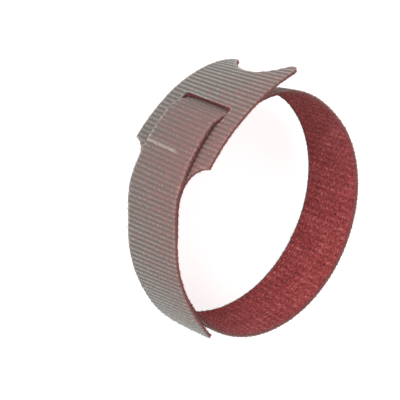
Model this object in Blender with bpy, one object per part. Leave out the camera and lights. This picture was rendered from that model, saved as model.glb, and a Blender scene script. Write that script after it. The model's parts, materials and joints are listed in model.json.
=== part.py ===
"""Hook and loop cable tie, closed into a ring and lying on its edge.

The tie is one die-cut strip: a wide head with two horns and a slot, a long strap and a round tail
end. The strip is cut out flat, scored across at every rib of its woven face, and then bent along
its route: once round the loop, up through the slot in its own head, and back over the outside.
"""
import math

import bmesh
import bpy
import numpy as np
from mathutils import Matrix, Vector

MM = 0.001

# The die-cut outline. Lengths run from the tips of the horns to the tail end.
total_length = 166.0 * MM
strap_width = 12.0 * MM
head_width = 20.0 * MM
shoulder_at = 20.7 * MM        # where the wide head ends in two sharp corners
shoulder_radius = 4.8 * MM     # concave sweep from each corner down to the strap
horn_radius = 1.7 * MM
notch_depth = 3.4 * MM
slot_at = 12.5 * MM            # centre of the slot
slot_corner_radius = 0.7 * MM

# The web: a woven face with ribs across it on one side, loop pile on the other.
strap_thickness = 0.6 * MM
rib_pitch = 0.76 * MM
rib_depth = 0.08 * MM

# The closed loop, measured to the middle of the inner layer.
loop_long_axis = 38.2 * MM
loop_short_axis = 32.0 * MM
slot_turn = math.radians(52.7)     # place of the slot on the loop, from its long axis
climb_length = 5.8 * MM            # the strap goes from under the head to over it in this length
neck_lift = 0.8 * MM               # the stiffer neck and head stand this far outside the loop
neck_rise_length = 7.0 * MM        # length over which the neck gets there
horn_lift = 3.7 * MM               # further rise of the horns, which nothing holds down
horn_twist = math.radians(6.5)     # the upper horn stands off a little more than the lower one

# The wall of the loop isn't quite upright, and the tail isn't pulled on quite straight.
loop_lean = math.radians(4.2)      # outward lean of the wall on one side, inward on the other
lean_side = math.radians(293.2)    # the side where it is outward, from the long axis
cross_lean = math.radians(1.0)     # further lean, outward on two opposite sides
cross_lean_side = math.radians(45.8)
entry_lean = math.radians(5.7)     # the strap twists outward on its way to the slot
entry_at = 12.0 * MM               # the middle of that twist, before the slot
entry_length = 10.0 * MM           # and its length to each side
tail_lean = math.radians(-1.2)     # lean of the outer layer against the inner one
tail_lean_length = 14.0 * MM       # length over which it gets there, past the slot
tail_skew = math.radians(2.65)     # the tail runs up towards the upper edge at this angle
tail_end_lift = 0.57 * MM          # the end of the tail stands off this much further
tail_end_length = 11.0 * MM        # length over which it does

# Clearances
layer_gap = 0.3 * MM           # between two layers that lie on each other
slot_side_gap = 0.4 * MM       # beside the strap in the slot
slot_pass_gap = 0.3 * MM       # above and below the strap in the slot

arc_step = math.radians(11.25)
route_step = math.radians(0.25)
weld_distance = 0.001 * MM
steepest_rest = math.radians(25)   # the ring lies down with less lean than this

# Worked out from the sizes above
half_strap = strap_width / 2
half_head = head_width / 2
half_thickness = strap_thickness / 2
layer_pitch = strap_thickness + layer_gap
shoulder_step = half_head - half_strap
neck_at = shoulder_at + math.sqrt(shoulder_radius**2 - (shoulder_radius - shoulder_step) ** 2)
neck_reach = neck_at - slot_at
shoulder_reach = shoulder_at - slot_at


def clear_scene():
    """Remove every object that is in the scene."""
    for old in list(bpy.data.objects):
        bpy.data.objects.remove(old, do_unlink=True)


def arc(center, radius, start, end):
    """Points on an arc from one angle to the other, both ends included."""
    steps = max(2, math.ceil(abs(end - start) / arc_step))
    angles = [start + (end - start) * i / steps for i in range(steps + 1)]
    return [(center[0] + radius * math.cos(a), center[1] + radius * math.sin(a)) for a in angles]


def half_outline():
    """One side of the flat tie, from the bottom of the notch to the tip of the tail."""
    horn_x = horn_radius
    horn_y = half_head - horn_radius
    notch_radius = ((horn_x - notch_depth) ** 2 + horn_y**2 - horn_radius**2) / (2 * notch_depth)
    notch_x = notch_depth - notch_radius
    meet = math.atan2(horn_y, horn_x - notch_x)
    neck_y = half_strap + shoulder_radius
    shoulder_turn = math.atan2(half_head - neck_y, shoulder_at - neck_at)
    tail_x = total_length - half_strap
    points = arc((notch_x, 0), notch_radius, 0, meet)
    points += arc((horn_x, horn_y), horn_radius, meet + math.pi, math.pi / 2)[1:]
    points += arc((neck_at, neck_y), shoulder_radius, shoulder_turn + math.tau, 1.5 * math.pi)
    points += arc((tail_x, 0), half_strap, math.pi / 2, 0)
    return points


def climb_angle():
    """Angle at which the strap crosses the head in the slot."""
    short_way = climb_length / 100
    under = tail_lift(-short_way) - head_lift(-short_way)
    over = tail_lift(short_way) - head_lift(short_way)
    return math.atan((over - under) / (2 * short_way))


def slot_height():
    """Opening that lets the strap through at its angle, with its clearance on both sides."""
    angle = climb_angle()
    strap_and_gaps = strap_thickness + 2 * slot_pass_gap
    return strap_and_gaps / math.sin(angle) + strap_thickness / math.tan(angle)


def slot_outline():
    """The slot, a rectangle with round corners that is as long as the strap is wide."""
    radius = min(slot_corner_radius, slot_height() / 3)
    corner_x = slot_height() / 2 - radius
    corner_y = half_strap + slot_side_gap - radius
    quarter = math.pi / 2
    corners = [(1, 1, 0), (-1, 1, 1), (-1, -1, 2), (1, -1, 3)]
    points = []
    for side_x, side_y, turn in corners:
        center = (slot_at + side_x * corner_x, side_y * corner_y)
        points += arc(center, radius, turn * quarter, (turn + 1) * quarter)
    return points


def smooth_step(x):
    """Even rise from 0 to 1 with level ends."""
    x = np.clip(x, 0.0, 1.0)
    return 3 * x**2 - 2 * x**3


def head_lift(along):
    """Height of the head over the loop, at a distance along the loop from the slot.

    The strap rises at the neck, and past the shoulders the head straightens towards its horns.
    """
    neck = neck_lift * smooth_step((neck_reach + neck_rise_length - along) / neck_rise_length)
    past_shoulder = np.maximum(shoulder_reach - along, 0.0) / shoulder_at
    return neck + horn_lift * past_shoulder**2


def tail_lift(along):
    """Height of the strap over the loop on its second pass, from under the head to over it."""
    over = head_lift(along) + layer_pitch
    share = head_lift(0.0) / (head_lift(0.0) + layer_pitch)
    crossing = 0.5 - math.sin(math.asin(1 - 2 * share) / 3)
    return over * smooth_step(crossing + along / climb_length)


def route():
    """The bent strip, point by point: its middle line, and how it stands there.

    Gives the distance along the strip, the position, the outward normal, the lean and the shift
    towards the upper edge.
    """
    turn = np.arange(slot_turn - math.pi, slot_turn + 4 * math.pi, route_step)
    long_radius = loop_long_axis / 2
    short_radius = loop_short_axis / 2
    loop = np.stack([long_radius * np.cos(turn), short_radius * np.sin(turn)], axis=1)
    normal = np.stack([short_radius * np.cos(turn), long_radius * np.sin(turn)], axis=1)
    normal /= np.linalg.norm(normal, axis=1)[:, None]

    along_loop = running_length(loop)
    first_pass, second_pass = np.interp([slot_turn, slot_turn + math.tau], turn, along_loop)
    along_loop -= first_pass
    once_round = second_pass - first_pass
    lift = head_lift(along_loop) + tail_lift(along_loop - once_round)
    path = loop + lift[:, None] * normal

    along_strip = running_length(path)
    first_pass, second_pass = np.interp([slot_turn, slot_turn + math.tau], turn, along_strip)
    past_slot = along_strip - second_pass
    along_strip += slot_at - first_pass
    tangent = np.gradient(path, axis=0)
    tangent /= np.linalg.norm(tangent, axis=1)[:, None]
    outward = np.stack([tangent[:, 1], -tangent[:, 0]], axis=1)
    shift = np.maximum(past_slot, 0.0) * math.tan(tail_skew)
    return along_strip, path, outward, strip_lean(turn, along_strip, past_slot), shift


def strip_lean(turn, along_strip, past_slot):
    """Lean of the strip's upper edge outwards, at turns round the loop and distances along it."""
    lean = loop_lean * np.cos(turn - lean_side) + cross_lean * np.cos(2 * (turn - cross_lean_side))
    lean *= smooth_step(along_strip / slot_at)
    lean += entry_lean * smooth_step(1 - np.abs(past_slot + entry_at) / entry_length)
    lean += tail_lean * smooth_step(past_slot / tail_lean_length)
    return lean


def running_length(path):
    """Distance from the first point of a path to each of its points."""
    steps = np.linalg.norm(np.diff(path, axis=0), axis=1)
    return np.concatenate([[0.0], np.cumsum(steps)])


def flat_tie():
    """The flat strip, cut out and scored across at every rib, as a bmesh."""
    curve = bpy.data.curves.new("flat_tie", "CURVE")
    curve.dimensions = "2D"
    curve.fill_mode = "BOTH"
    curve.extrude = half_thickness
    side = half_outline()
    other_side = [(x, -y) for x, y in reversed(side[1:-1])]
    for outline in (side + other_side, slot_outline()):
        spline = curve.splines.new("POLY")
        spline.points.add(len(outline) - 1)
        spline.use_cyclic_u = True
        for point, (x, y) in zip(spline.points, outline):
            point.co = (x, y, 0, 1)
    guide = bpy.data.objects.new("flat_tie", curve)
    bpy.context.scene.collection.objects.link(guide)
    depsgraph = bpy.context.evaluated_depsgraph_get()
    mesh = bpy.data.meshes.new_from_object(guide.evaluated_get(depsgraph))
    bm = bmesh.new()
    bm.from_mesh(mesh)
    bpy.data.objects.remove(guide, do_unlink=True)
    bmesh.ops.remove_doubles(bm, verts=bm.verts, dist=weld_distance)
    bmesh.ops.recalc_face_normals(bm, faces=bm.faces)
    score_across(bm)
    return bm


def score_across(bm):
    """Cut the strip across at every half rib, and merge what lies between two cuts."""
    half_rib = rib_pitch / 2
    for i in range(1, int(total_length / half_rib)):
        cut = {"plane_co": (i * half_rib, 0, 0), "plane_no": (1, 0, 0), "dist": weld_distance}
        bmesh.ops.bisect_plane(bm, geom=bm.verts[:] + bm.edges[:] + bm.faces[:], **cut)
    slanted = []
    for edge in bm.edges:
        inside_a_side = all(abs(face.normal.z) > 0.5 for face in edge.link_faces)
        if inside_a_side and abs(edge.verts[0].co.x - edge.verts[1].co.x) > weld_distance:
            slanted.append(edge)
    bmesh.ops.dissolve_edges(bm, edges=slanted, use_verts=True)


def bend(bm):
    """Raise the ribs and bend the flat strip along its route, with the loop's axis upright."""
    along_strip, path, outward, lean, shift = route()
    for vert in bm.verts:
        x, y, z = vert.co
        if z > 0:
            z -= rib_depth * abs((x / rib_pitch) % 1.0 - 0.5) * 2
        y += np.interp(x, along_strip, shift)
        before_slot = max(slot_at - x, 0.0) / slot_at
        slope = math.tan(horn_twist) * before_slot**2
        slope += math.tan(np.interp(x, along_strip, lean))
        z += y * slope + tail_end_lift * smooth_step(1 - (total_length - x) / tail_end_length)
        spot = [np.interp(x, along_strip, path[:, i]) for i in (0, 1)]
        away = [np.interp(x, along_strip, outward[:, i]) for i in (0, 1)]
        vert.co = (spot[0] + z * away[0], spot[1] + z * away[1], y)


def middle_of_mass(bm):
    """Centre of the solid's volume, from the tetrahedra under its triangles."""
    volume = 0.0
    moment = Vector((0, 0, 0))
    for triangle in bm.calc_loop_triangles():
        a, b, c = (loop.vert.co for loop in triangle)
        part = a.dot(b.cross(c)) / 6
        volume += part
        moment += part * (a + b + c) / 4
    return moment / volume


def resting_turn(bm):
    """Rotation that sets the ring down on its lower edge, on the three points that carry it.

    These are the corners of the face of its convex hull that lies under its middle of mass.
    """
    middle = middle_of_mass(bm)
    hull = bm.copy()
    hull_parts = bmesh.ops.convex_hull(hull, input=hull.verts)["geom"]
    hull_faces = [item for item in hull_parts if isinstance(item, bmesh.types.BMFace)]
    down = Vector((0, 0, -1))
    best = None
    for face in hull_faces:
        normal = face.normal.copy()
        if normal.dot(face.calc_center_median() - middle) < 0:
            normal.negate()
        reach = normal.dot(face.verts[0].co - middle)
        under = middle + normal * reach
        faces_down = normal.dot(down) > math.cos(steepest_rest)
        if faces_down and bmesh.geometry.intersect_face_point(face, under):
            if best is None or normal.dot(down) > best.dot(down):
                best = normal
    hull.free()
    return best.rotation_difference(down).to_matrix().to_4x4()


def set_down(bm):
    """Turn the ring to how it rests and put the middle of its footprint at the origin."""
    bmesh.ops.transform(bm, matrix=resting_turn(bm), verts=bm.verts)
    low = [min(vert.co[i] for vert in bm.verts) for i in range(3)]
    high = [max(vert.co[i] for vert in bm.verts) for i in range(3)]
    to_origin = Vector((-(low[0] + high[0]) / 2, -(low[1] + high[1]) / 2, -low[2]))
    bmesh.ops.transform(bm, matrix=Matrix.Translation(to_origin), verts=bm.verts)


def strap_material():
    """Woven nylon with a taupe back, matt."""
    material = bpy.data.materials.new("woven_nylon")
    material.use_nodes = True
    shader = material.node_tree.nodes["Principled BSDF"]
    shader.inputs["Base Color"].default_value = (0.30, 0.22, 0.20, 1.0)
    shader.inputs["Roughness"].default_value = 0.9
    shader.inputs["Metallic"].default_value = 0.0
    return material


def cable_tie(collection):
    """The whole tie as one solid."""
    bm = flat_tie()
    bend(bm)
    set_down(bm)
    mesh = bpy.data.meshes.new("cable_tie")
    bm.to_mesh(mesh)
    bm.free()
    mesh.materials.append(strap_material())
    tie = bpy.data.objects.new("cable_tie", mesh)
    collection.objects.link(tie)
    return tie


def main():
    clear_scene()
    collection = bpy.data.collections.new("hook_and_loop_cable_tie")
    bpy.context.scene.collection.children.link(collection)
    cable_tie(collection)


main()
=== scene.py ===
"""Looks of a hook and loop cable tie, closed into a ring and lying on its edge.

Every piece is made flat, in the tie's own cut-out shape, and then bent along the strap's route, so
the weave, the pile and the fibres at the cut edge follow the strap wherever it goes.
"""
import json
import math

import bmesh
import bpy
import numpy as np
from mathutils import Matrix, Vector, kdtree


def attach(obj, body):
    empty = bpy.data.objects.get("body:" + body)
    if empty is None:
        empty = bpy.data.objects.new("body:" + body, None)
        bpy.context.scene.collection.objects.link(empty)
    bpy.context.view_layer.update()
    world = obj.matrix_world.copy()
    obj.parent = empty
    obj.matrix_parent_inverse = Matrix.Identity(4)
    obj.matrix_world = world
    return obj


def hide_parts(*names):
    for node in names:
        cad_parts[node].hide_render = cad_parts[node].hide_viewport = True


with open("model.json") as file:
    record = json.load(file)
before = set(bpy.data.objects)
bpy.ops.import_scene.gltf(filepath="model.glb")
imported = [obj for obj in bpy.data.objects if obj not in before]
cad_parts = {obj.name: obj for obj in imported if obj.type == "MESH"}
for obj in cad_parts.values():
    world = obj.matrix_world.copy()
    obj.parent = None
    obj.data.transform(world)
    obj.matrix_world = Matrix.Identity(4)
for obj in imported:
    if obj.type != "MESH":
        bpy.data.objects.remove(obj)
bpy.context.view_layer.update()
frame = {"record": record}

MM = 0.001

# The die-cut outline. Lengths run from the tips of the horns to the tail end.
total_length = 166.0 * MM
strap_width = 12.0 * MM
head_width = 20.0 * MM
shoulder_at = 20.7 * MM
shoulder_radius = 4.8 * MM
horn_radius = 1.7 * MM
notch_depth = 3.4 * MM
slot_at = 12.5 * MM
slot_corner_radius = 0.7 * MM

# The web: a woven face with hooks in ribs across it on one side, loop pile on the other.
strap_thickness = 0.6 * MM
woven_thickness = 0.24 * MM
rib_pitch = 0.76 * MM
rib_depth = 0.08 * MM
dot_pitch = 0.62 * MM
dot_depth = 0.05 * MM
pile_rib_pitch = 1.12 * MM
pile_unevenness = 0.06 * MM
rim_width = 0.5 * MM            # along the cut edges the faces change their look over this width

# The closed loop, measured to the middle of the inner layer.
loop_long_axis = 38.2 * MM
loop_short_axis = 32.0 * MM
slot_turn = math.radians(52.7)
climb_length = 5.8 * MM
neck_lift = 0.8 * MM
neck_rise_length = 7.0 * MM
horn_lift = 3.7 * MM
horn_twist = math.radians(6.5)
loop_lean = math.radians(4.2)
lean_side = math.radians(293.2)
cross_lean = math.radians(1.0)
cross_lean_side = math.radians(45.8)
entry_lean = math.radians(5.7)
entry_at = 12.0 * MM
entry_length = 10.0 * MM
tail_lean = math.radians(-1.2)
tail_lean_length = 14.0 * MM
tail_skew = math.radians(2.65)
tail_end_lift = 0.57 * MM
tail_end_length = 11.0 * MM
layer_gap = 0.3 * MM
slot_side_gap = 0.4 * MM
slot_pass_gap = 0.3 * MM

# The fibres, each a small arch of yarn: hooks on the ribs, pile, and frayed yarn at the cut edges.
# A tilt or turn is the spread of what is added at random to a direction of length 1.
yarn_radius = 0.022 * MM
hook_span = 0.26 * MM
hook_radius = 0.04 * MM
hook_margin = 0.25 * MM         # no hook stands closer to a cut edge
hook_wander = 0.03 * MM
hook_tilt = 0.25
hook_turn = 0.4
loop_span = 0.26 * MM
loop_count = 6500
loop_tilt = 0.35
edge_loop_span = 0.2 * MM
edge_loop_count = 6000
slot_loop_span = 0.3 * MM
slot_loop_radius = 0.03 * MM
slot_loop_count = 1800
slot_loop_tilt = 0.2

# The crease, where the tail bends over the end of the head under it, and how far it goes across
crease_at = 132.5 * MM
crease_width = 0.3 * MM
crease_stop = 2.4 * MM

# Spots per millimetre in the uneven patterns, and the share of the length after which the tail is paler
thread_bends = 1.3
thread_grain = 5.0
blush_spots = 0.9
frayed_spots = 1.8
pile_tufts = 2.2
pile_patches = 0.35
paler_from = 0.8
thread_wander = 0.14 * MM       # how far the threads stray from straight lines

# How finely the faces are cut: four steps to each rib and to each hook in it
rib_steps = 4
dot_steps = 4
pile_step = 0.21 * MM
back_step = 2 * rib_pitch
arc_step = math.radians(5)
route_step = math.radians(0.25)
weld_distance = 0.0005 * MM

# The camera of the photograph
camera_place = Vector((0.603, 125.170, 223.142)) * MM
camera_aim = Vector((-1.748, 6.481, 6.469)) * MM
camera_up = Vector((0.9499, 0.2698, -0.1581))
camera_lens = 144.0

# Soft studio light, and the glow that makes the floor white for the camera alone
sky_strength = 0.75
lamp_direction = Vector((0.15, 0.82, 0.55))
lamp_distance = 0.45
lamp_size = 0.25
lamp_power = 0.95
floor_size = 1.5
floor_glow = 0.6

# Worked out from the sizes above
half_strap = strap_width / 2
half_head = head_width / 2
half_thickness = strap_thickness / 2
layer_pitch = strap_thickness + layer_gap
shoulder_step = half_head - half_strap
neck_at = shoulder_at + math.sqrt(shoulder_radius**2 - (shoulder_radius - shoulder_step) ** 2)
neck_reach = neck_at - slot_at
shoulder_reach = shoulder_at - slot_at
web_split = half_thickness - woven_thickness


def add_camera():
    """The photograph's own view: from above the near rim, turned so that the head is at the top."""
    data = bpy.data.cameras.new("camera")
    data.lens = camera_lens
    data.sensor_width = 36.0
    data.clip_start = 0.01
    camera = bpy.data.objects.new("camera", data)
    bpy.context.scene.collection.objects.link(camera)
    ahead = (camera_aim - camera_place).normalized()
    right = ahead.cross(camera_up).normalized()
    up = right.cross(ahead)
    turn = Matrix((right, up, -ahead)).transposed().to_4x4()
    camera.matrix_world = Matrix.Translation(camera_place) @ turn
    bpy.context.scene.camera = camera


def arc(center, radius, start, end):
    """Points on an arc from one angle to the other, both ends included."""
    steps = max(2, math.ceil(abs(end - start) / arc_step))
    angles = [start + (end - start) * i / steps for i in range(steps + 1)]
    return [(center[0] + radius * math.cos(a), center[1] + radius * math.sin(a)) for a in angles]


def half_outline():
    """One side of the flat tie, from the bottom of the notch to the tip of the tail."""
    horn_x = horn_radius
    horn_y = half_head - horn_radius
    notch_radius = ((horn_x - notch_depth) ** 2 + horn_y**2 - horn_radius**2) / (2 * notch_depth)
    notch_x = notch_depth - notch_radius
    meet = math.atan2(horn_y, horn_x - notch_x)
    neck_y = half_strap + shoulder_radius
    shoulder_turn = math.atan2(half_head - neck_y, shoulder_at - neck_at)
    tail_x = total_length - half_strap
    points = arc((notch_x, 0), notch_radius, 0, meet)
    points += arc((horn_x, horn_y), horn_radius, meet + math.pi, math.pi / 2)[1:]
    points += arc((neck_at, neck_y), shoulder_radius, shoulder_turn + math.tau, 1.5 * math.pi)
    points += arc((tail_x, 0), half_strap, math.pi / 2, 0)
    return points


def slot_height():
    """Opening that lets the strap through at its angle, with its clearance on both sides."""
    angle = climb_angle()
    strap_and_gaps = strap_thickness + 2 * slot_pass_gap
    return strap_and_gaps / math.sin(angle) + strap_thickness / math.tan(angle)


def half_slot():
    """The slot's edge on the same side, from its tail end to its horn end."""
    height = slot_height()
    radius = min(slot_corner_radius, height / 3)
    corner_x = height / 2 - radius
    corner_y = half_strap + slot_side_gap - radius
    points = [(slot_at + height / 2, 0)]
    points += arc((slot_at + corner_x, corner_y), radius, 0, math.pi / 2)
    points += arc((slot_at - corner_x, corner_y), radius, math.pi / 2, math.pi)
    points += [(slot_at - height / 2, 0)]
    return points


def climb_angle():
    """Angle at which the strap crosses the head in the slot."""
    short_way = climb_length / 100
    under = tail_lift(-short_way) - head_lift(-short_way)
    over = tail_lift(short_way) - head_lift(short_way)
    return math.atan((over - under) / (2 * short_way))


def smooth_step(x):
    """Even rise from 0 to 1 with level ends."""
    x = np.clip(x, 0.0, 1.0)
    return 3 * x**2 - 2 * x**3


def head_lift(along):
    """Height of the head over the loop, at a distance along the loop from the slot."""
    neck = neck_lift * smooth_step((neck_reach + neck_rise_length - along) / neck_rise_length)
    past_shoulder = np.maximum(shoulder_reach - along, 0.0) / shoulder_at
    return neck + horn_lift * past_shoulder**2


def tail_lift(along):
    """Height of the strap over the loop on its second pass, from under the head to over it."""
    over = head_lift(along) + layer_pitch
    share = head_lift(0.0) / (head_lift(0.0) + layer_pitch)
    crossing = 0.5 - math.sin(math.asin(1 - 2 * share) / 3)
    return over * smooth_step(crossing + along / climb_length)


def running_length(path):
    """Distance from the first point of a path to each of its points."""
    steps = np.linalg.norm(np.diff(path, axis=0), axis=1)
    return np.concatenate([[0.0], np.cumsum(steps)])


def route():
    """The bent strip, point by point: its middle line, and how it stands there.

    Gives the distance along the strip, the position, the outward normal, the lean and the shift
    towards the upper edge.
    """
    turn = np.arange(slot_turn - math.pi, slot_turn + 4 * math.pi, route_step)
    long_radius = loop_long_axis / 2
    short_radius = loop_short_axis / 2
    loop = np.stack([long_radius * np.cos(turn), short_radius * np.sin(turn)], axis=1)
    normal = np.stack([short_radius * np.cos(turn), long_radius * np.sin(turn)], axis=1)
    normal /= np.linalg.norm(normal, axis=1)[:, None]

    along_loop = running_length(loop)
    first_pass, second_pass = np.interp([slot_turn, slot_turn + math.tau], turn, along_loop)
    along_loop -= first_pass
    once_round = second_pass - first_pass
    lift = head_lift(along_loop) + tail_lift(along_loop - once_round)
    path = loop + lift[:, None] * normal

    along_strip = running_length(path)
    first_pass, second_pass = np.interp([slot_turn, slot_turn + math.tau], turn, along_strip)
    past_slot = along_strip - second_pass
    along_strip += slot_at - first_pass
    tangent = np.gradient(path, axis=0)
    tangent /= np.linalg.norm(tangent, axis=1)[:, None]
    outward = np.stack([tangent[:, 1], -tangent[:, 0]], axis=1)
    shift = np.maximum(past_slot, 0.0) * math.tan(tail_skew)
    return along_strip, path, outward, strip_lean(turn, along_strip, past_slot), shift


def strip_lean(turn, along_strip, past_slot):
    """Lean of the strip's upper edge outwards, at turns round the loop and distances along it."""
    lean = loop_lean * np.cos(turn - lean_side) + cross_lean * np.cos(2 * (turn - cross_lean_side))
    lean *= smooth_step(along_strip / slot_at)
    lean += entry_lean * smooth_step(1 - np.abs(past_slot + entry_at) / entry_length)
    lean += tail_lean * smooth_step(past_slot / tail_lean_length)
    return lean


def resting_place():
    """Turn and move from the loop's own frame to how the ring lies, from the part's record."""
    bundle = frame["record"]["mounts"][0]
    turn = Vector((0, 0, 1)).rotation_difference(Vector(bundle["axis"])).to_matrix().to_4x4()
    return Matrix.Translation(Vector(bundle["pos_m"])) @ turn


def bend(flat):
    """Bend flat points, as rows of along, across and height, along the strap's route."""
    along_strip, path, outward, lean, shift = route()
    x, y, z = flat.T
    y = y + np.interp(x, along_strip, shift)
    before_slot = np.maximum(slot_at - x, 0.0) / slot_at
    slope = math.tan(horn_twist) * before_slot**2 + np.tan(np.interp(x, along_strip, lean))
    z = z + y * slope + tail_end_lift * smooth_step(1 - (total_length - x) / tail_end_length)
    spots = [
        np.interp(x, along_strip, path[:, i]) + z * np.interp(x, along_strip, outward[:, i]) for i in (0, 1)
    ]
    place = np.array(resting_place())
    return np.stack([*spots, y], axis=1) @ place[:3, :3].T + place[:3, 3]


def slice_up(bm, faces, cuts, axis):
    """Cut faces at every distance in cuts along an axis, each time only those that lie beyond."""
    normal = Vector((0, 0, 0))
    normal[axis] = 1.0
    for cut in cuts:
        edges = {edge for face in faces for edge in face.edges}
        verts = {vert for face in faces for vert in face.verts}
        around = list(faces) + list(edges) + list(verts)
        done = bmesh.ops.bisect_plane(
            bm, geom=around, dist=weld_distance, plane_co=normal * cut, plane_no=normal
        )
        cut_faces = [item for item in done["geom"] if isinstance(item, bmesh.types.BMFace)]
        faces = [face for face in cut_faces if face.calc_center_bounds()[axis] > cut]


def faces_at(bm, height):
    """The level faces at a height."""
    return [face for face in bm.faces if all(abs(vert.co.z - height) < weld_distance for vert in face.verts)]


def flat_slab(back_height, front_height, lane, station):
    """One layer of the web, cut out flat: a closed slab whose front is cut into small faces."""
    bm = bmesh.new()
    half = bm.faces.new([bm.verts.new((x, y, back_height)) for x, y in half_outline() + half_slot()])
    grown = bmesh.ops.extrude_face_region(bm, geom=[half], use_keep_orig=True)
    raised = [item for item in grown["geom"] if isinstance(item, bmesh.types.BMVert)]
    bmesh.ops.translate(bm, vec=(0, 0, front_height - back_height), verts=raised)
    middle = [face for face in bm.faces if all(abs(vert.co.y) < weld_distance for vert in face.verts)]
    bmesh.ops.delete(bm, geom=middle, context="FACES")
    slice_up(bm, bm.faces[:], np.arange(back_step, total_length, back_step), axis=0)
    slice_up(bm, faces_at(bm, front_height), np.arange(lane, half_head, lane), axis=1)
    slice_up(bm, faces_at(bm, front_height), np.arange(station, total_length, station), axis=0)
    everything = bm.verts[:] + bm.edges[:] + bm.faces[:]
    bmesh.ops.mirror(bm, geom=everything, axis="Y", merge_dist=weld_distance)
    seam = [vert for vert in bm.verts if abs(vert.co.y) < weld_distance]
    bmesh.ops.remove_doubles(bm, verts=seam, dist=weld_distance)
    bmesh.ops.recalc_face_normals(bm, faces=bm.faces)
    return bm


def nearness_to_edge(x, y):
    """1 on the cut edge and round the slot, 0 from the rim's width inwards."""
    edges = []
    for line in (np.array(half_outline()), np.array(half_slot())):
        along = running_length(line)
        steps = np.arange(0.0, along[-1], rim_width / 8)
        edges.append(np.stack([np.interp(steps, along, line[:, i]) for i in (0, 1)], axis=1))
    edges = np.concatenate(edges)
    tree = kdtree.KDTree(len(edges))
    for i, (edge_x, edge_y) in enumerate(edges):
        tree.insert((edge_x, edge_y, 0.0), i)
    tree.balance()
    distance = np.array([tree.find((px, abs(py), 0.0))[2] for px, py in zip(x, y)])
    return np.clip(1 - distance / rim_width, 0.0, 1.0)


def web_piece(name, bm, raise_front, front_height):
    """Turn a flat slab into a finished piece: its front raised, bent and given its flat map."""
    mesh = bpy.data.meshes.new(name)
    bm.to_mesh(mesh)
    bm.free()
    flat = np.empty(len(mesh.vertices) * 3)
    mesh.vertices.foreach_get("co", flat)
    flat = flat.reshape(-1, 3)
    corner_verts = np.empty(len(mesh.loops), dtype=int)
    mesh.loops.foreach_get("vertex_index", corner_verts)
    flat_map = mesh.uv_layers.new(name="flat")
    flat_map.data.foreach_set("uv", (flat[corner_verts, :2] / total_length + [0.0, 0.5]).ravel())
    rim = mesh.attributes.new("rim", "FLOAT", "POINT")
    rim.data.foreach_set("value", nearness_to_edge(flat[:, 0], flat[:, 1]))
    front = np.abs(flat[:, 2] - front_height) < weld_distance
    flat[front, 2] += raise_front(flat[front, 0], flat[front, 1])
    mesh.vertices.foreach_set("co", bend(flat).ravel())
    mesh.shade_smooth()
    mesh.set_sharp_from_angle(angle=math.radians(50))
    piece = bpy.data.objects.new(name, mesh)
    bpy.context.scene.collection.objects.link(piece)
    return piece


def rib_height(x, y):
    """Ribs across the strip, each a row of hooks that stand between those of its neighbours."""
    phase = x / rib_pitch
    crest = np.sin(math.pi * phase) ** 2
    row = np.floor(phase)
    between = 0.5 - 0.5 * np.cos(math.tau * (y / dot_pitch + row / 2))
    return -rib_depth * (1 - crest) - dot_depth * crest * between


def pile_height(x, y):
    """Uneven tops of brushed pile."""
    dice = np.random.default_rng(11)
    return pile_unevenness * dice.random(len(x))


def yarn_loop(span, radius):
    """One arch of yarn, as the corners and faces of a bent three-sided tube with closed ends."""
    bm = bmesh.new()
    ring = bmesh.ops.create_circle(bm, segments=3, radius=radius)["verts"]
    bmesh.ops.translate(bm, vec=(span / 2, 0, 0), verts=ring)
    around = bm.verts[:] + bm.edges[:]
    bmesh.ops.spin(bm, geom=around, cent=(0, 0, 0), axis=(0, -1, 0), angle=math.pi, steps=4)
    open_ends = [edge for edge in bm.edges if edge.is_boundary]
    bmesh.ops.holes_fill(bm, edges=open_ends, sides=3)
    bmesh.ops.recalc_face_normals(bm, faces=bm.faces)
    bm.verts.index_update()
    verts = np.array([vert.co[:] for vert in bm.verts])
    faces = [[vert.index for vert in face.verts] for face in bm.faces]
    bm.free()
    return verts, faces


def spread_loops(name, loop, places, outs, sides, tints, dice, stretch=(0.8, 1.4)):
    """Copies of one arch at flat places, each along its own two directions and in its own tint.

    The stretch gives how many times taller each may get: a low and a high value.
    """
    verts, faces = loop
    count = len(places)
    lean = outs / np.linalg.norm(outs, axis=1)[:, None]
    third = np.cross(lean, sides)
    third /= np.linalg.norm(third, axis=1)[:, None]
    side = np.cross(third, lean)
    size = dice.uniform(0.8, 1.2, (count, 1, 1))
    low, high = np.broadcast_arrays(*stretch, np.empty(count))[:2]
    tall = dice.uniform(low, high)[:, None, None]
    axes = np.stack([side, third, lean], axis=1)
    shape = verts[None, :, :] * size * np.concatenate([np.ones((count, 1, 2)), tall], axis=2)
    flat = places[:, None, :] + np.einsum("nvi,nij->nvj", shape, axes)
    placed = bend(flat.reshape(-1, 3)).reshape(flat.shape)
    above_floor = placed[:, :, 2].min(axis=1) > 0.0
    placed, tints = placed[above_floor], tints[above_floor]
    indices = [[corner + i * len(verts) for corner in face] for i in range(len(placed)) for face in faces]
    mesh = bpy.data.meshes.new(name)
    mesh.from_pydata(placed.reshape(-1, 3).tolist(), [], indices)
    tint = mesh.attributes.new("tint", "FLOAT", "POINT")
    tint.data.foreach_set("value", np.repeat(tints, len(verts)))
    mesh.shade_smooth()
    piece = bpy.data.objects.new(name, mesh)
    bpy.context.scene.collection.objects.link(piece)
    return piece


def half_width_at(x):
    """Half the width of the flat tie at a distance along it."""
    outline = np.array(half_outline())
    start = int(np.argmax(outline[:, 1] >= half_head - 1e-9))
    return np.interp(x, outline[start:, 0], outline[start:, 1])


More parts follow.
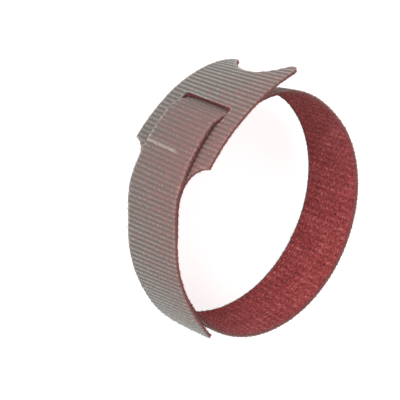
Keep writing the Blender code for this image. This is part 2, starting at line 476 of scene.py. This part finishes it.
def inside_web(x, y, margin):
    """Which flat points lie on the web, at least a margin from the outline and out of the slot."""
    beside = np.abs(y) < half_width_at(x) - margin
    at_slot = np.abs(x - slot_at) < slot_height() / 2 + margin
    in_slot = at_slot & (np.abs(y) < half_strap + slot_side_gap + margin)
    past_notch = x > notch_depth + margin
    horn = (np.abs(y) > half_head - 2 * horn_radius + margin) & (x > horn_radius)
    return beside & ~in_slot & (past_notch | horn)


def hooks():
    """The hooks on the outer face: one row on each rib, between those of its neighbours."""
    dice = np.random.default_rng(17)
    rows = np.arange(int(total_length / rib_pitch))
    across = np.arange(-int(half_head / dot_pitch) - 1, int(half_head / dot_pitch) + 2)
    row, column = [grid.ravel() for grid in np.meshgrid(rows, across)]
    x = (row + 0.5) * rib_pitch + dice.normal(0.0, hook_wander, len(row))
    y = (column + 0.5 * (row % 2)) * dot_pitch + dice.normal(0.0, hook_wander, len(row))
    keep = inside_web(x, y, hook_margin)
    x, y = x[keep], y[keep]
    count = len(x)
    outs = np.tile([0.0, 0.0, 1.0], (count, 1)) + dice.normal(0.0, hook_tilt, (count, 3))
    sides = np.tile([1.0, 0.0, 0.0], (count, 1)) + dice.normal(0.0, hook_turn, (count, 3))
    creased = (np.abs(x - crease_at) < crease_width) & (y < crease_stop)
    paler_end = 0.35 * smooth_step((x / total_length - paler_from) / (1 - paler_from))
    tints = np.where(creased, 1.0, 0.6 * dice.random(count) + paler_end)
    z = np.full(count, half_thickness - 2 * hook_radius)
    places = np.stack([x, y, z], axis=1)
    return spread_loops("hooks", yarn_loop(hook_span, hook_radius), places, outs, sides, tints, dice)


def pile_loops():
    """Loops of yarn that stand all over the inner face."""
    dice = np.random.default_rng(21)
    x = dice.uniform(0.0, total_length, 3 * loop_count)
    y = dice.uniform(-half_head, half_head, 3 * loop_count)
    keep = inside_web(x, y, 0.0)
    x, y = x[keep][:loop_count], y[keep][:loop_count]
    count = len(x)
    z = np.full(count, -half_thickness + pile_unevenness)
    outs = np.tile([0.0, 0.0, -1.0], (count, 1)) + dice.normal(0.0, loop_tilt, (count, 3))
    sides = dice.normal(0.0, 1.0, (count, 3))
    places = np.stack([x, y, z], axis=1)
    loop = yarn_loop(loop_span, yarn_radius)
    # Most loops get dark tints; the rare pale ones are painted glints
    return spread_loops("pile_loops", loop, places, outs, sides, dice.random(count) ** 2, dice)


def edge_spots(line, count, snap, dice):
    """Spots on one side of a cut edge, and the flat way out of the web there, as four rows.

    They keep to the ribs' ends, the closer the smaller the snap is.
    """
    line = np.array(line)
    along = running_length(line)
    at = dice.uniform(0.0, along[-1], 4 * count)
    rib_phase = (np.interp(at, along, line[:, 0]) / rib_pitch) % 1.0
    at = at[np.abs(rib_phase - 0.5) <= dice.uniform(0.0, snap, len(at))][:count]
    heading = np.gradient(line, axis=0)
    heading /= np.linalg.norm(heading, axis=1)[:, None]
    return [np.interp(at, along, row) for row in (*line.T, -heading[:, 1], heading[:, 0])]


def edge_loops():
    """Loops of yarn that stick out of the cut edge, mostly where a rib ends in it."""
    dice = np.random.default_rng(31)
    x, y, out_x, out_y = edge_spots(half_outline(), edge_loop_count, 0.5, dice)
    count = len(x)
    upper = np.where(dice.random(count) < 0.5, -1.0, 1.0)
    height = dice.random(count)
    z = -half_thickness + height * (strap_thickness - yarn_radius)
    places = np.stack([x, y * upper, z], axis=1)
    outs = np.stack([out_x, out_y * upper, height - 0.6], axis=1)
    outs += dice.normal(0.0, loop_tilt, (count, 3))
    sides = dice.normal(0.0, 1.0, (count, 3))
    tints = 0.65 * height + 0.35 * dice.random(count)
    loop = yarn_loop(edge_loop_span, yarn_radius)
    return spread_loops("edge_loops", loop, places, outs, sides, tints, dice)


def slot_loops():
    """Longer, dark loops of pile that close the gap between the slot's edge and the strap in it: their dark
    reds are painted shade for the crevice there.
    """
    dice = np.random.default_rng(41)
    x, y, out_x, out_y = edge_spots(half_slot(), slot_loop_count, 0.5, dice)
    count = len(x)
    upper = np.where(dice.random(count) < 0.5, -1.0, 1.0)
    height = dice.random(count)
    z = -half_thickness + height * 0.7 * strap_thickness
    places = np.stack([x, y * upper, z], axis=1)
    outs = np.stack([out_x, out_y * upper, np.zeros(count)], axis=1)
    outs += dice.normal(0.0, slot_loop_tilt, (count, 3))
    sides = dice.normal(0.0, 1.0, (count, 3))
    loop = yarn_loop(slot_loop_span, slot_loop_radius)
    longest = 1.5 + 2.0 * (y / half_strap) ** 4
    stretch = (0.6 * longest, longest)
    return spread_loops("slot_loops", loop, places, outs, sides, 0.6 * height, dice, stretch)


# Settings of the nodes that the faces use most
multiply = {"operation": "MULTIPLY"}
multiply_add = {"operation": "MULTIPLY_ADD"}
multiply_add_clamped = {"operation": "MULTIPLY_ADD", "use_clamp": True}
flat_pattern = {"noise_dimensions": "2D"}
colours = {"data_type": "RGBA"}


def linear(hex_colour):
    """A #rrggbb colour as the linear values that shaders take."""
    parts = [int(hex_colour[i : i + 2], 16) / 255 for i in (1, 3, 5)]
    return [*((c / 12.92 if c <= 0.04045 else ((c + 0.055) / 1.055) ** 2.4) for c in parts), 1.0]


def add_node(tree, kind, settings=None, output=0, stops=(), **inputs):
    """One node with its settings and links, given back as one of its outputs.

    Inputs are set or linked by name, or by number as i0, i1 and so on, and a hex colour is turned
    linear. Stops are a ramp's positions and hex colours.
    """
    node = tree.nodes.new(kind)
    for name, value in (settings or {}).items():
        setattr(node, name, value)
    for name, value in inputs.items():
        by_number = name[0] == "i" and name[1:].isdigit()
        socket = node.inputs[int(name[1:]) if by_number else name.replace("_", " ")]
        if isinstance(value, bpy.types.NodeSocket):
            tree.links.new(value, socket)
        else:
            socket.default_value = linear(value) if isinstance(value, str) else value
    if stops:
        elements = node.color_ramp.elements
        while len(elements) < len(stops):
            elements.new(0.5)
        for element, (position, colour) in zip(elements, stops):
            element.position = position
            element.color = linear(colour)
    return node.outputs[output]


def new_material(name):
    """An empty material with its shader and output."""
    material = bpy.data.materials.new(name)
    material.use_nodes = True
    return material, material.node_tree, material.node_tree.nodes["Principled BSDF"]


def flat_mm(tree):
    """The flat map in millimetres, along from the horns and across from the middle."""
    flat = add_node(tree, "ShaderNodeUVMap", {"uv_map": "flat"})
    to_middle = [0.0, -0.5 * total_length / MM, 0.0]
    return add_node(tree, "ShaderNodeMapping", i0=flat, i1=to_middle, i3=[total_length / MM] * 3)


def wave(tree, value, pitch):
    """Even wave from 0 to 1, with its first crest at half a pitch."""
    turns = add_node(tree, "ShaderNodeMath", multiply, i0=value, i1=math.tau / pitch)
    cosine = add_node(tree, "ShaderNodeMath", {"operation": "COSINE"}, i0=turns)
    return add_node(tree, "ShaderNodeMath", multiply_add, i0=cosine, i1=-0.5, i2=0.5)


def woven_nylon():
    """Woven nylon: matt taupe with pale stitches, greyer at both ends of the tie, with pink spots."""
    material, tree, shader = new_material("woven_nylon")
    place = flat_mm(tree)

    # Threads that wander a little, and where this place is along and across the strip
    bends = add_node(tree, "ShaderNodeTexNoise", flat_pattern, output=1, i0=place, Scale=thread_bends)
    wander = [thread_wander / MM, thread_wander / MM, 0]
    threads = add_node(tree, "ShaderNodeVectorMath", multiply_add, i0=bends, i1=wander, i2=place)
    along = add_node(tree, "ShaderNodeSeparateXYZ", output=0, i0=threads)
    across = add_node(tree, "ShaderNodeSeparateXYZ", output=1, i0=threads)
    share = add_node(tree, "ShaderNodeMath", {"operation": "DIVIDE"}, i0=along, i1=total_length / MM)
    to_ends = [(0.0, "#ffffff"), (0.15, "#000000"), (paler_from, "#000000"), (1.0, "#ffffff")]
    ends = add_node(tree, "ShaderNodeValToRGB", stops=to_ends, i0=share)

    # Light and dark: stitches in rows on the ribs, stronger at the ends, and the grain of the thread
    ribs = wave(tree, along, rib_pitch / MM)
    row = add_node(tree, "ShaderNodeMath", {"operation": "DIVIDE"}, i0=along, i1=rib_pitch / MM)
    row = add_node(tree, "ShaderNodeMath", {"operation": "FLOOR"}, i0=row)
    stagger = 0.5 * dot_pitch / MM
    staggered = add_node(tree, "ShaderNodeMath", multiply_add, i0=row, i1=stagger, i2=across)
    dots = wave(tree, staggered, dot_pitch / MM)
    stitches = add_node(tree, "ShaderNodeMath", multiply, i0=ribs, i1=dots)
    strength = add_node(tree, "ShaderNodeMath", multiply_add, i0=ends, i1=0.65, i2=0.22)
    stitches = add_node(tree, "ShaderNodeMath", multiply, i0=stitches, i1=strength)
    grain = add_node(tree, "ShaderNodeTexNoise", flat_pattern, i0=place, Scale=thread_grain)
    grain = add_node(tree, "ShaderNodeMath", multiply_add, i0=grain, i1=0.7, i2=-0.18)
    tone = add_node(tree, "ShaderNodeMath", multiply_add, i0=ribs, i1=0.08, i2=stitches)
    tone = add_node(tree, "ShaderNodeMath", {"operation": "ADD"}, i0=tone, i1=grain)
    fade = -0.06 * MM / half_head
    tone = add_node(tree, "ShaderNodeMath", multiply_add, i0=across, i1=fade, i2=tone)
    taupe = [(0.0, "#4b4643"), (0.35, "#706964"), (0.65, "#918a85"), (1.0, "#c2bcb7")]
    colour = add_node(tree, "ShaderNodeValToRGB", stops=taupe, i0=tone)

    # Pink spots, more of them towards the near edge and fewer at the ends
    spots = add_node(
        tree, "ShaderNodeTexNoise", flat_pattern, i0=place, Scale=blush_spots, Detail=4.0, Roughness=0.7
    )
    spots = add_node(tree, "ShaderNodeMath", multiply_add, i0=spots, i1=1.5, i2=-0.7)
    blush = add_node(tree, "ShaderNodeMath", multiply_add, i0=ends, i1=-0.4, i2=0.34)
    to_edge = 0.2 * MM / half_strap
    blush = add_node(tree, "ShaderNodeMath", multiply_add, i0=across, i1=to_edge, i2=blush)
    blush = add_node(tree, "ShaderNodeMath", {"operation": "ADD"}, i0=spots, i1=blush)
    colour = add_node(tree, "ShaderNodeMix", colours, output=2, i0=blush, i6=colour, i7="#915f5b")

    # The pale crease, broken into dashes
    from_crease = add_node(tree, "ShaderNodeMath", {"operation": "SUBTRACT"}, i0=along, i1=crease_at / MM)
    from_crease = add_node(tree, "ShaderNodeMath", {"operation": "ABSOLUTE"}, i0=from_crease)
    narrow = -0.8 * MM / crease_width
    crease = add_node(tree, "ShaderNodeMath", multiply_add_clamped, i0=from_crease, i1=narrow, i2=1.0)
    stop = add_node(
        tree, "ShaderNodeMath", multiply_add_clamped, i0=across, i1=-1.0, i2=crease_stop / MM
    )
    crease = add_node(tree, "ShaderNodeMath", multiply, i0=crease, i1=stop)
    dashes = wave(tree, across, dot_pitch / MM)
    dashes = add_node(tree, "ShaderNodeMath", multiply_add, i0=dashes, i1=0.6, i2=0.1)
    crease = add_node(tree, "ShaderNodeMath", multiply, i0=crease, i1=dashes)
    colour = add_node(tree, "ShaderNodeMix", colours, output=2, i0=crease, i6=colour, i7="#c9beb8")

    # Frayed rim in beads at the ribs' ends, pale at the far edge and pink at the near one
    rim = add_node(tree, "ShaderNodeAttribute", {"attribute_name": "rim"}, output="Fac")
    at_ribs = add_node(tree, "ShaderNodeMath", multiply_add, i0=ribs, i1=0.7, i2=0.3)
    beads = add_node(tree, "ShaderNodeTexNoise", flat_pattern, i0=place, Scale=frayed_spots)
    beads = add_node(tree, "ShaderNodeMath", multiply_add, i0=beads, i1=3.0, i2=-1.0)
    frayed = add_node(tree, "ShaderNodeMath", multiply, i0=rim, i1=at_ribs)
    frayed = add_node(tree, "ShaderNodeMath", multiply, i0=frayed, i1=beads)
    near_side = add_node(tree, "ShaderNodeMath", multiply_add_clamped, i0=across, i1=1.0, i2=0.5)
    weaker = add_node(tree, "ShaderNodeMath", multiply_add, i0=near_side, i1=-0.5, i2=1.5)
    frayed = add_node(tree, "ShaderNodeMath", multiply, i0=frayed, i1=weaker)
    yarn_colour = add_node(
        tree, "ShaderNodeMix", colours, output=2, i0=near_side, i6="#beb5af", i7="#b58d87"
    )
    colour = add_node(tree, "ShaderNodeMix", colours, output=2, i0=frayed, i6=colour, i7=yarn_colour)

    tree.links.new(colour, shader.inputs["Base Color"])
    shader.inputs["Roughness"].default_value = 0.75
    shader.inputs["Sheen Weight"].default_value = 0.8
    shader.inputs["Sheen Roughness"].default_value = 0.3
    shader.inputs["Sheen Tint"].default_value = linear("#b4c4c0")
    bump = add_node(tree, "ShaderNodeBump", Height=tone, Strength=0.35, Distance=0.1 * MM)
    tree.links.new(bump, shader.inputs["Normal"])
    return material


def loop_pile():
    """Brushed nylon loop pile: soft wine red, mottled in faint ribs, with pale glints on its loops."""
    material, tree, shader = new_material("loop_pile")
    place = flat_mm(tree)
    tufts = add_node(
        tree, "ShaderNodeTexNoise", flat_pattern, i0=place, Scale=pile_tufts, Detail=5.0, Roughness=0.75
    )
    ribs = wave(tree, add_node(tree, "ShaderNodeSeparateXYZ", i0=place), pile_rib_pitch / MM)
    patches = add_node(tree, "ShaderNodeTexNoise", flat_pattern, i0=place, Scale=pile_patches)
    patches = add_node(tree, "ShaderNodeMath", multiply_add, i0=patches, i1=0.2, i2=-0.1)
    tone = add_node(tree, "ShaderNodeMath", multiply_add, i0=ribs, i1=0.08, i2=tufts)
    tone = add_node(tree, "ShaderNodeMath", {"operation": "ADD"}, i0=tone, i1=patches)
    # The palest stop of this ramp is a painted glint
    wine = [(0.36, "#5c1a1c"), (0.47, "#902f31"), (0.59, "#ad4042"), (0.69, "#c56866"), (0.79, "#dfa099")]
    colour = add_node(tree, "ShaderNodeValToRGB", stops=wine, i0=tone)
    rim = add_node(tree, "ShaderNodeAttribute", {"attribute_name": "rim"}, output="Fac")
    rim = add_node(tree, "ShaderNodeMath", {"operation": "POWER"}, i0=rim, i1=3.0)
    colour = add_node(tree, "ShaderNodeMix", colours, output=2, i0=rim, i6=colour, i7="#80504d")
    tree.links.new(colour, shader.inputs["Base Color"])
    shader.inputs["Roughness"].default_value = 0.85
    shader.inputs["Sheen Weight"].default_value = 0.3
    shader.inputs["Sheen Roughness"].default_value = 0.5
    shader.inputs["Sheen Tint"].default_value = linear("#d08a8a")
    bump = add_node(tree, "ShaderNodeBump", Height=tone, Strength=0.7, Distance=0.25 * MM)
    tree.links.new(bump, shader.inputs["Normal"])
    return material


def yarn(name, dark, light):
    """Nylon filament for hooks, pile and frayed edges, its colour different from arch to arch."""
    material, tree, shader = new_material(name)
    tint = add_node(tree, "ShaderNodeAttribute", {"attribute_name": "tint"}, output="Fac")
    colour = add_node(tree, "ShaderNodeValToRGB", stops=[(0.0, dark), (1.0, light)], i0=tint)
    tree.links.new(colour, shader.inputs["Base Color"])
    shader.inputs["Roughness"].default_value = 0.5
    return material


def add_floor():
    """A plain white floor that keeps the shadow."""
    mesh = bpy.data.meshes.new("floor")
    bm = bmesh.new()
    bmesh.ops.create_grid(bm, x_segments=1, y_segments=1, size=floor_size)
    bm.to_mesh(mesh)
    bm.free()
    floor = bpy.data.objects.new("floor", mesh)
    bpy.context.scene.collection.objects.link(floor)
    material, tree, shader = new_material("white_floor")
    shader.inputs["Base Color"].default_value = linear("#f4f4f4")
    shader.inputs["Roughness"].default_value = 0.9
    seen_by_camera = add_node(tree, "ShaderNodeLightPath", output="Is Camera Ray")
    shader.inputs["Emission Color"].default_value = (1.0, 1.0, 1.0, 1.0)
    glow = add_node(tree, "ShaderNodeMath", multiply, i0=seen_by_camera, i1=floor_glow)
    tree.links.new(glow, shader.inputs["Emission Strength"])
    mesh.materials.append(material)


def add_lights():
    """Even light from all round, and one broad soft lamp over the head side."""
    world = bpy.data.worlds.new("studio")
    world.use_nodes = True
    background = world.node_tree.nodes["Background"]
    background.inputs["Color"].default_value = (1.0, 1.0, 1.0, 1.0)
    background.inputs["Strength"].default_value = sky_strength
    bpy.context.scene.world = world
    lamp = bpy.data.lights.new("key_lamp", "AREA")
    lamp.shape = "DISK"
    lamp.size = lamp_size
    lamp.energy = lamp_power
    key = bpy.data.objects.new("key_lamp", lamp)
    bpy.context.scene.collection.objects.link(key)
    place = lamp_direction.normalized() * lamp_distance
    key.matrix_world = Matrix.Translation(place) @ place.to_track_quat("Z", "Y").to_matrix().to_4x4()


def main():
    bpy.context.scene.view_settings.view_transform = "Standard"
    add_camera()
    woven = web_piece(
        "woven_face",
        flat_slab(web_split, half_thickness, dot_pitch / dot_steps, rib_pitch / rib_steps),
        rib_height,
        half_thickness,
    )
    woven.data.materials.append(woven_nylon())
    pile = web_piece(
        "pile_face", flat_slab(web_split, -half_thickness, pile_step, pile_step), pile_height, -half_thickness
    )
    pile.data.materials.append(loop_pile())
    hook_rows = hooks()
    hook_rows.data.materials.append(yarn("hook_yarn", "#8f837c", "#d6cec8"))
    loops = pile_loops()
    # The pale end of the pile yarn's colours is for painted glints
    loops.data.materials.append(yarn("pile_yarn", "#7a2e31", "#e0a8a2"))
    fringe = edge_loops()
    fringe.data.materials.append(yarn("edge_yarn", "#7c3234", "#cfa59f"))
    slot_fibres_painted_shade = slot_loops()
    # Dark reds of the slot's loops: painted shade in the crevice round the strap
    slot_fibres_painted_shade.data.materials.append(yarn("slot_yarn_painted_shade", "#5c1f21", "#925451"))
    for piece in (woven, hook_rows, pile, loops, fringe, slot_fibres_painted_shade):
        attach(piece, "root")
        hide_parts("cable_tie")
    add_floor()
    add_lights()


main()
